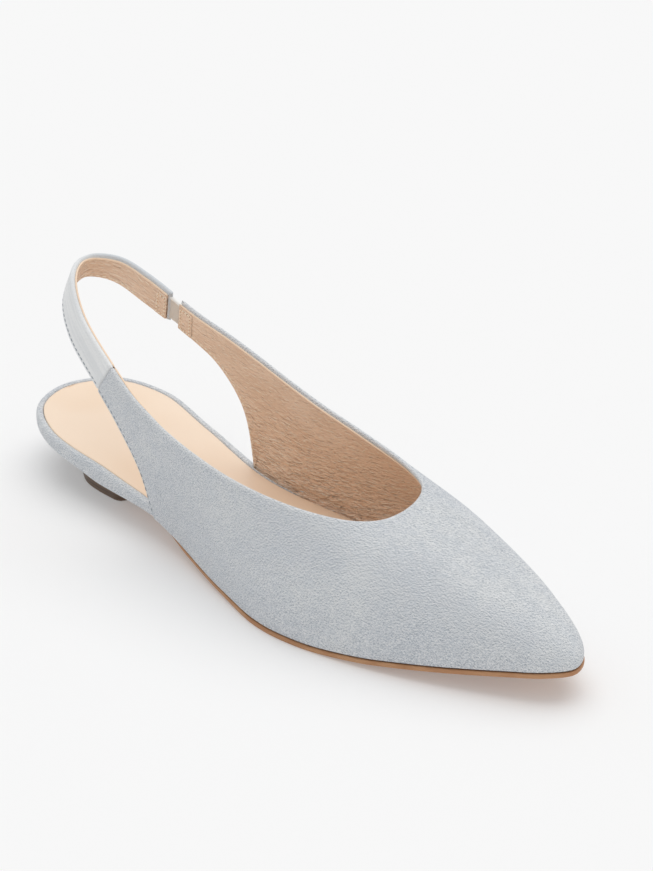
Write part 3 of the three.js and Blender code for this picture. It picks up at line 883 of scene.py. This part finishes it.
# Darker ovals under the pale box stitches: painted shade round the threads.
STITCH_PAINTED_SHADE = plain("stitch_painted_shade", "lining_leather", (196, 152, 118), *WAXED)
ELASTIC_CORE = plain("elastic_core", "elastic_webbing", (250, 248, 244), *WAXED)

# Outsole: narrow at the waist, with round lower and upper edges
BOARD_STEPS = 260
SOLE_EDGE_ROUND = 0.6
EDGE_SHARES = np.array([0, 0.08, 0.22, 0.4, 0.6, 0.78, 0.92, 1])


def rounded_levels(inset, bottom, top, rounding):
    """Levels up a side between two heights, with edges rounded by an ellipse."""
    drawn_in = rounding * (1 - np.sqrt(1 - np.abs(2 * EDGE_SHARES - 1) ** 4))

    def level(share, extra):
        return (
            lambda at, outer_side: inset(at, outer_side) + extra,
            lambda at: bottom(at) + share * (top(at) - bottom(at)),
        )

    return [level(share, extra) for share, extra in zip(EDGE_SHARES, drawn_in)]


def sole_inset(at, outer_side):
    return shank_share(at) * HEEL_SET_IN


heel_start = 0.004
toe_end = TOE_INDEX - heel_start
sole_start = index_at(HEEL_BREAST) + GAP / LENGTH
outsole = board(
    "outsole", sole_start, toe_end, BOARD_STEPS,
    rounded_levels(sole_inset, sole_bottom, sole_top, SOLE_EDGE_ROUND), SOLE,
)
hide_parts("outsole")

# Seam between the upper and the sole: a dark line set back from both, dark edge paint in the joint and
# painted shade in its gap
SEAM_SET_BACK = 0.6
SEAM_RISE = 1.0
SEAM_SINK = 0.15
SEAM_LEAD = 0.4
seam_start = index_at(FEATHER["inner"][0]) - SEAM_LEAD
board(
    "sole_seam_and_shade", seam_start, toe_end, BOARD_STEPS,
    [
        (
            lambda at, outer_side: np.maximum(upper_inset(at, outer_side), sole_inset(at, outer_side))
            + SEAM_SET_BACK,
            lambda at, lift=lift: sole_top(at) + lift,
        )
        for lift in (-SEAM_SINK, SEAM_RISE)
    ],
    SEAM, across=2,
)

# Heel: a low stacked block under the seat, with a straight breast and rounded corners
HEEL_EDGE_ROUND = 0.6
HEEL_CORNER_RADIUS = 3.5
HEEL_STEPS = 90
HEEL_LEVELS = table("""
    lean  round up
      1.0   1.0   0.0
      1.0  0.45 0.012
      1.0  0.12  0.03
    0.998   0.0  0.06
      0.9   0.0  0.28
      0.8   0.0  0.55
     0.68   0.0   0.8
      0.6   0.0   1.0
""")


def heel_corner(at):
    past = (at - HEEL_BREAST) * LENGTH + HEEL_CORNER_RADIUS
    reach = np.clip(past / HEEL_CORNER_RADIUS, 0, 1)
    return HEEL_CORNER_RADIUS * (1 - np.sqrt(1 - reach * reach))


def heel_level(lean, rounding, up):
    return (
        lambda at, outer_side: HEEL_SET_IN * (1 + (heel_share(at) - 1) * lean)
        + HEEL_EDGE_ROUND * rounding + heel_corner(at),
        lambda at: up * sole_top(at),
    )


heel = board(
    "heel_block", heel_start, index_at(HEEL_BREAST), HEEL_STEPS,
    [heel_level(*row) for row in zip(*HEEL_LEVELS.values())], HEEL, across=8,
)
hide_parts("heel_block")

# Heel seat: suede wrapped round the seat board, whose soft rim shows round the sock. under is a
# share of SEAT_UNDERCUT, rim a share of the rim's width, and up a share of its height.
SEAT_UNDERCUT = 1.0
SEAT_HANG = 1.8
SEAT_HANG_START = HEEL_BREAST - 0.06
SEAT_HANG_END = 0.34
SEAT_PROFILE = Spline(
    np.array([(1, 0, 0), (0.2, 0, 0.16), (0, 0, 0.45), (0, 0.05, 0.85), (0, 0.3, 1), (0, 0.8, 1)]),
    False,
)
SEAT_RISES = 22
RIM_EDGE = 0.97


def seat_floor(at):
    return insole_bottom(at) - GAP


def rim_top(at):
    fallen = smoothstep(at, RIM_FALL_START, RIM_FALL_END)
    return insole_top(at) + fallen * (seat_floor(at) - insole_top(at))


def seat_hang(at):
    """How far the suede's lower edge hangs below the board, round the heel."""
    return SEAT_HANG * (1 - smoothstep(at, SEAT_HANG_START, SEAT_HANG_END))


def seat_level(under, rim, up):
    def inset(at, outer_side):
        outside = seat_inset(at, outer_side)
        inside = np.maximum(sock_inset(at, outer_side) - SOCK_CLEAR, outside + LINING_CLEAR)
        return outside + under * (SEAT_UNDERCUT + seat_hang(at)) + rim * (inside - outside)

    def height(at):
        bottom = sole_top(at) + GAP - (1 - under) * seat_hang(at)
        return bottom + up * (rim_top(at) - bottom)

    return inset, height


rim_levels = [seat_level(*row) for row in SEAT_PROFILE.at(np.linspace(0, 1, SEAT_RISES))]
rim_edge = seat_level(0, RIM_EDGE, RIM_EDGE)
seat = board(
    "heel_seat", heel_start, index_at(SEAT_FRONT), BOARD_STEPS,
    [*rim_levels, rim_edge, (seat_level(0, 1, 1)[0], seat_floor)], SUEDE,
)
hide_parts("heel_seat")

# Insole: a smooth leather sock, pressed a little hollow by the foot
SOCK_EDGE_ROUND = 0.45
SOCK_HOLLOW = -0.35
SOCK_SINK = 0.12
insole = board(
    "insole", heel_start, toe_end, BOARD_STEPS,
    rounded_levels(sock_inset, insole_bottom, lambda at: insole_top(at) - SOCK_SINK, SOCK_EDGE_ROUND),
    SOCK, across=24, dome=SOCK_HOLLOW,
)
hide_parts("insole")

# Soft forms of the walls. Each is a line from one place to another, told by forward and up, with
# a height in millimetres that is negative for a trough, a half width and a waviness.
SUEDE_FORMS = table("""
    side from_forward from_up to_forward to_up lift width wave
     1  92 34 122  8 -0.35 7 1.0
     1 104 44 150 16  0.25 9 1.5
     1 128 38 165 12 -0.25 8 1.0
     1 186 30 226 12 -0.20 8 1.0
    -1  96 40 128 12 -0.30 7 1.0
    -1 150 34 190 14  0.20 9 1.0
""")
LINING_FORMS = table("""
    side from_forward from_up to_forward to_up lift width wave
    -1  94   10 128  8.5  0.34 0.75 0.7
    -1  96   13 122 10.5 -0.30  0.7 0.8
    -1  97   16 134   12  0.30  0.7 1.0
    -1 100   19 126   15 -0.24  0.8 0.9
    -1 108  7.5 150  6.8  0.36  0.7 0.6
    -1 112 10.5 146    9 -0.30  0.7 0.7
    -1 120 12.5 158 10.5  0.32 0.75 0.9
    -1 126  7.6 168  8.2 -0.30 0.65 0.6
    -1 130   16 166 12.5  0.26  0.8 1.0
    -1 138   10 176  9.6  0.34  0.7 0.7
    -1 140   20 170   16 -0.22  0.9 1.0
    -1 148 12.5 186 11.5 -0.28  0.7 0.8
    -1 152  7.8 190  9.4  0.30 0.65 0.6
    -1 156   15 190   14  0.28 0.75 0.9
    -1 102   23 130 18.5  0.20  0.9 1.0
    -1 104   28 128   24 -0.18  1.0 1.0
    -1  98   36 118   31  0.18  1.0 1.0
    -1  90   30 108   25  0.20  0.9 0.8
    -1 116   34 142   28 -0.14  1.2 1.0
     1 112    9 160    8  0.28  0.8 0.8
     1 120   13 170   11 -0.24  0.8 0.9
     1 100   30 124   24  0.20  1.0 1.0
""")
WAVE_LENGTH = 11
FADE_IN = (-0.1, 0.2)
FADE_OUT = (0.8, 1.1)


def lift_of(forms):
    """How far a table of forms lifts points of a wall, in millimetres."""

    def lift(points, rows, distances):
        forward = CENTRE - points[..., 1]
        up = points[..., 2]
        side = np.where(np.mod(rows, 2 * TOE_ROW) < TOE_ROW, 1, -1)
        total = np.zeros(rows.shape)
        for turn, row in enumerate(zip(*forms.values())):
            form_side, from_forward, from_up, to_forward, to_up, height, width, wave = row
            line = np.array([to_forward - from_forward, to_up - from_up])
            size = np.linalg.norm(line)
            ahead = line / size
            run = (forward - from_forward) * ahead[0] + (up - from_up) * ahead[1]
            off = (up - from_up) * ahead[0] - (forward - from_forward) * ahead[1]
            off = off - wave * np.sin(run * 2 * np.pi / WAVE_LENGTH + turn)
            fade = smoothstep(run / size, *FADE_IN) * (1 - smoothstep(run / size, *FADE_OUT))
            total += np.where(side == form_side, height * fade * np.exp(-((off / width) ** 2)), 0)
        return total

    return lift


# Upper: a suede shell rolled over at its edges, lined with thin leather
SUEDE_DEPTH = 1.75
CREST = 0.75
upper_rows = rows_between(SEAM_ROW, UPPER_END, spacing=1.1)
upper = wall(
    "upper", upper_rows, SUEDE, 0, SUEDE_DEPTH, rises=44, high=CREST, low_round=0.5,
    top_round=1.15, skin_lift=lift_of(SUEDE_FORMS), end_round=0.15,
)
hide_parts("upper")

# The lining's upper edge lies below the crest, except by the strap on the outer side.
EDGE_RISE = table("""
    row  rise
     -15 -0.35
      -8 -0.45
    -1.5 -0.45
     0.5  0.42
     4.5  0.45
     6.5  -0.3
      15 -0.35
""")
edge_rise = along(EDGE_RISE["row"], EDGE_RISE["rise"])
LINING_LOW = 0.3
LINING_LAP = 0.1
FINE_SPACING = 0.62
PLAIN_SPACING = 1.7


def signed(rows):
    return np.where(rows > TOE_ROW, rows - 2 * TOE_ROW, rows)


def lining_spacing(rows):
    """Fine where the inner quarter's lining shows its wrinkles, and plain elsewhere."""
    return np.where(rows > TOE_ROW + 4, FINE_SPACING, PLAIN_SPACING)


FLOW_MIDDLE = 92
FLOW_SLOPE = -0.1
FLOW_CURVE = 0.0019


def lining_flow(points):
    """Where points lie along and across the wrinkles, which fall and then rise towards the toe."""
    forward = CENTRE - points[..., 1]
    past = forward - FLOW_MIDDLE
    return forward, points[..., 2] - FLOW_SLOPE * past - FLOW_CURVE * past * past


# On the inner side the lining runs on past the suede at the arm's end.
ARM_LAP = 0.1
arm_lap_row = UPPER_END + (row_after(ARM_END_ROW, ARM_LAP) - ARM_END_ROW)
lining_rows = rows_between(SEAM_ROW, arm_lap_row, lining_spacing)
wall(
    "upper_lining", lining_rows, LINING, SUEDE_DEPTH - LINING_LAP, UPPER_WALL, rises=58,
    low=LINING_LOW, high=edge_rise(signed(lining_rows)), low_round=0.25, top_round=0.3,
    back_lift=lift_of(LINING_FORMS), flow=lining_flow,
)

# The raw edge of the lining, a thin bead painted brighter than the lining as a highlight along it
EDGE_WIDTH = 0.65
EDGE_PROUD = 0.12
EDGE_OVER = 0.06


def edge_bead(name, rows, skin, back):
    rise = edge_rise(signed(rows))
    lengths = length_at(rows)
    wall(
        name, rows, LINING_EDGE, skin - LINING_LAP, back + EDGE_PROUD, rises=1,
        low=lengths + rise - EDGE_WIDTH, high=rise + EDGE_OVER, low_round=0.22, top_round=0.28,
    )


upper_edge_rows = rows_between(SEAM_ROW, arm_lap_row, spacing=1.4)
edge_bead("upper_lining_edge", upper_edge_rows, SUEDE_DEPTH, UPPER_WALL)

# Heel strap: its lower edge has a stitched groove, and it tucks under the quarter at the seam
STITCH_INSET = 1.6
GROOVE_DEPTH = 0.28
GROOVE_WIDTH = 0.55
SEAM_LAP = 0.5
SEAM_TUCK = 0.02
TUCK_ROWS = (SEAM_ROW - 0.18, SEAM_ROW - 0.02)
STRAP_THINNING = 0.4
STRAP_CREST = 0.8
STRAP_LINING_SHORT = 0.7
seam_end_row = row_after(SEAM_ROW, SEAM_LAP)


def strap_depth(rows, depth):
    """A depth in the strap, which thins to the quarter's wall towards their seam."""
    return depth - STRAP_THINNING * smoothstep(rows, SEAM_ROW - 1, SEAM_ROW)


def strap_lift(points, rows, distances):
    groove = np.exp(-(((distances - STITCH_INSET) / GROOVE_WIDTH) ** 2))
    tuck = smoothstep(rows, *TUCK_ROWS)
    return -GROOVE_DEPTH * groove - SEAM_TUCK * tuck


STRAP_SUEDE_DEPTH = SUEDE_DEPTH + STRAP_THINNING
strap_rows = rows_between(STRAP_END_ROW, seam_end_row, spacing=0.8)
strap = wall(
    "heel_strap", strap_rows, STRAP_SUEDE, 0,
    strap_depth(strap_rows, STRAP_SUEDE_DEPTH), rises=30, high=STRAP_CREST, low_round=1.1,
    top_round=1.2, skin_lift=strap_lift, end_round=0.15,
)
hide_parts("heel_strap")

strap_lining_start = row_after(STRAP_END_ROW, STRAP_LINING_SHORT)
strap_lining_rows = rows_between(strap_lining_start, SEAM_ROW, spacing=0.8)
strap_lining_skin = strap_depth(strap_lining_rows, STRAP_SUEDE_DEPTH)
strap_lining_back = strap_depth(strap_lining_rows, STRAP_WALL)
wall(
    "strap_lining", strap_lining_rows, LINING, strap_lining_skin - LINING_LAP,
    strap_lining_back, rises=24, low=LINING_LOW, high=edge_rise(strap_lining_rows), low_round=0.25,
    top_round=0.3,
)
edge_bead("strap_lining_edge", strap_lining_rows, strap_lining_skin, strap_lining_back)

# Elastic: a narrower band that runs into both ends, with a rolled upper edge
ELASTIC_TUCK = 1.6
ROLL_WIDTH = 0.9
ROLL_OVER_BACK = 0.3
ROLL_OVER_SKIN = 0.15
ROLL_OVER_TOP = 0.25
elastic_rows = rows_between(
    row_after(ARM_END_ROW, -ELASTIC_TUCK), row_after(STRAP_END_ROW, ELASTIC_TUCK), spacing=0.4
)
elastic_length = length_at(elastic_rows)
elastic_margin = elastic_length * (1 - ELASTIC_SHARE) / 2
elastic_skin = (STRAP_WALL - ELASTIC_WALL) / 2
elastic = wall(
    "elastic", elastic_rows, WEBBING, elastic_skin, elastic_skin + ELASTIC_WALL - ROLL_OVER_BACK,
    rises=22, low=elastic_margin, high=-elastic_margin, low_round=0.4, top_round=0.4,
)
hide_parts("elastic")
wall(
    "elastic_roll", elastic_rows, ELASTIC_CORE, elastic_skin - ROLL_OVER_SKIN,
    elastic_skin + ELASTIC_WALL, rises=2, low=elastic_length - elastic_margin - ROLL_WIDTH,
    high=-elastic_margin + ROLL_OVER_TOP, low_round=0.4, top_round=0.5,
)

# Stitches
STITCH_RINGS = np.radians([30, 60, 90, 120, 150])
STITCH_SIDES = np.radians(np.arange(0, 360, 45))
PATH_SAMPLES = 600
AHEAD_STEP = 0.3


def stitch_path(rows, distances, depth, pitch):
    """Places a pitch apart along a line on the wall, with the directions ahead and outward."""
    samples = np.linspace(0, 1, PATH_SAMPLES)
    knots = np.linspace(0, 1, len(rows))
    row = np.interp(samples, knots, rows)
    distance = np.interp(samples, knots, np.broadcast_to(distances, len(rows)))
    point, outward = surface(row, distance[:, None])
    point = point[:, 0] - outward[:, 0] * depth
    travelled = np.concatenate([[0], np.cumsum(np.linalg.norm(np.diff(point, axis=0), axis=1))])
    count = max(int(travelled[-1] / pitch), 1)
    places = (np.arange(count) + 0.5) * travelled[-1] / count

    def pick(lines, at):
        return np.transpose([np.interp(at, travelled, line) for line in lines.T])

    ahead = pick(point, places + AHEAD_STEP) - pick(point, places - AHEAD_STEP)
    return pick(point, places), unit(ahead), unit(pick(outward[:, 0], places))


def stitches(name, paths, length, radius, look, inside=False):
    """Small ovals, of thread or of painted shade round it, lying along their paths and pulled in at
    both ends.
    """
    centre, ahead, outward = (np.concatenate(part)[:, None, None] for part in zip(*paths))
    away = -outward if inside else outward
    across = unit(np.cross(ahead, away))
    away = np.cross(across, ahead)
    place = -np.cos(STITCH_RINGS)[:, None, None] * length / 2
    size = np.sin(STITCH_RINGS)[:, None, None] * radius
    flat = across * np.cos(STITCH_SIDES)[:, None] + away * np.sin(STITCH_SIDES)[:, None]
    rings = (centre + ahead * place + flat * size).reshape(len(centre), -1, 3)
    tips = centre[:, 0] + ahead[:, 0] * np.array([[-1], [1]]) * length / 2
    points = np.concatenate([rings, tips], axis=1)
    sides = len(STITCH_SIDES)
    end = len(rings[0]) - sides
    faces = loop_faces(len(STITCH_RINGS), sides)
    for i in range(sides):
        j = (i + 1) % sides
        faces += [[j, i, end + sides], [end + i, end + j, end + sides + 1]]
    every = range(0, len(centre) * points.shape[1], points.shape[1])
    faces = [[first + i for i in face] for first in every for face in faces]
    return make_piece(name, points.reshape(-1, 3), faces, look)


PITCH = 2.5
STITCH_LENGTH = 1.7
THREAD_RADIUS = 0.26
SEAM_CLEAR = 0.06
SEAM_MARGIN = 0.05
CORNER_MARGIN = 0.06
ARM_MARGIN = 0.25
STRAP_MARGIN = 0.29
LINING_SKIP = 8
outer_quarter = np.linspace(SEAM_ROW + SEAM_MARGIN, CORNER_ROW - CORNER_MARGIN, 60)
inner_quarter = np.linspace(CORNER_ROW - CORNER_MARGIN, ARM_MARGIN - ARM_END_ROW, 60)
strap_run = np.linspace(STRAP_END_ROW + STRAP_MARGIN, SEAM_ROW - SEAM_MARGIN, 120)


def hem_stitches(name, runs, look, inside=False):
    """Stitch rows along lower edges, each run being its rows and its depth in the wall."""
    paths = [stitch_path(rows, STITCH_INSET, depth, PITCH) for rows, depth in runs]
    stitches(name, paths, STITCH_LENGTH, THREAD_RADIUS, look, inside)


hem_stitches(
    "quarter_stitches", [(outer_quarter, SEAM_CLEAR), (-inner_quarter, SEAM_CLEAR)], DARK_THREAD
)
hem_stitches("strap_stitches", [(strap_run, GROOVE_DEPTH)], DARK_THREAD)
hem_stitches(
    "lining_stitches",
    [(outer_quarter, UPPER_WALL), (-inner_quarter, UPPER_WALL), (strap_run[LINING_SKIP:], STRAP_WALL)],
    TAN_THREAD, inside=True,
)

# Box stitching holds the elastic at both lining ends, through a small lap of lining.
BOX_PITCH = 1.5
BOX_STITCH = 1.1
BOX_RADIUS = 0.36
SHADE_LENGTH = 1.6
SHADE_RADIUS = 0.18
BOX_NEAR = 0.9
BOX_SAMPLES = 81
LAP_THICKNESS = 0.3
LAP_NEAR = 0.15
LAP_LOW = 0.5


def box_path(end_row, direction, far, low, high, depth):
    """The stitched box near a lining's end, up to a distance far from it."""
    first = row_after(end_row, direction * BOX_NEAR)
    second = row_after(end_row, direction * far)
    top = length_at(np.array([first, second])) - high
    rows = np.array([first, first, second, second, first])
    distances = np.array([low, top[0], top[1], low, low])
    steps = np.linspace(0, 4, BOX_SAMPLES)
    return stitch_path(
        np.interp(steps, range(5), rows), np.interp(steps, range(5), distances), depth, BOX_PITCH
    )


def lining_lap(name, end_row, direction, far, high, depth):
    """A small lap of lining leather folded back over the elastic's end."""
    ends = sorted(row_after(end_row, direction * distance) for distance in (LAP_NEAR, far))
    wall(
        name, rows_between(*ends, spacing=0.3), LINING, depth - LINING_LAP, depth + LAP_THICKNESS,
        rises=16, low=LAP_LOW, high=-high, low_round=0.2, top_round=0.2,
    )


arm_lining_end = row_after(ARM_END_ROW, ARM_LAP)
box_paths = [
    box_path(arm_lining_end, -1, far=4.5, low=1.3, high=2, depth=UPPER_WALL + LAP_THICKNESS),
    box_path(strap_lining_start, 1, far=4.1, low=1.6, high=2.6, depth=STRAP_WALL + LAP_THICKNESS),
]
stitches("box_stitches", box_paths, BOX_STITCH, BOX_RADIUS, TAN_THREAD, inside=True)
# Painted shade round the box stitches, as darker ovals a little longer than them.
stitches("box_stitch_painted_shades", box_paths, SHADE_LENGTH, SHADE_RADIUS, STITCH_PAINTED_SHADE, inside=True)
lining_lap("quarter_lining_lap", arm_lining_end, -1, far=5.4, high=1.1, depth=UPPER_WALL)
lining_lap("strap_lining_lap", strap_lining_start, 1, far=5, high=1.2, depth=STRAP_WALL)

# Floor, light and camera
FLOOR_HALF = 6
WORLD_STRENGTH = 0.58
KEY_TOWARDS = Vector((0.3, 0.2, 1.0))
KEY_STRENGTH = 1.4
KEY_SOFTNESS = 70
CAMERA_PLACE = Vector((-416.658, -500.092, 352.615)) * MM
CAMERA_TARGET = Vector((55.909, 40.430, 15.0)) * MM

floor_look = Look("floor", (223, 223, 223), 0.9, 0, Emission_Strength=0.2)
floor_mesh = bpy.data.meshes.new("floor")
corners = [(-1, -1), (1, -1), (1, 1), (-1, 1)]
floor_mesh.from_pydata([(x * FLOOR_HALF, y * FLOOR_HALF, 0) for x, y in corners], [], [(0, 1, 2, 3)])
floor_mesh.materials.append(floor_look.material)
floor = put("floor", floor_mesh)

world = bpy.data.worlds.new("studio")
world.use_nodes = True
world.node_tree.nodes["Background"].inputs["Color"].default_value = (1, 1, 1, 1)
world.node_tree.nodes["Background"].inputs["Strength"].default_value = WORLD_STRENGTH
bpy.context.scene.world = world

key_data = bpy.data.lights.new("key", "SUN")
key_data.energy = KEY_STRENGTH
key_data.angle = math.radians(KEY_SOFTNESS)
key = put("key", key_data)
key.rotation_euler = KEY_TOWARDS.to_track_quat("Z", "Y").to_euler()
bpy.context.scene.view_settings.view_transform = "Standard"

camera_data = bpy.data.cameras.new("camera")
camera_data.lens = 86.57
camera_data.sensor_width = 36
camera_data.sensor_fit = "AUTO"
camera_data.clip_start = 0.01
camera = put("camera", camera_data)
camera.location = CAMERA_PLACE
camera.rotation_euler = (CAMERA_TARGET - CAMERA_PLACE).to_track_quat("-Z", "Y").to_euler()
bpy.context.scene.camera = camera
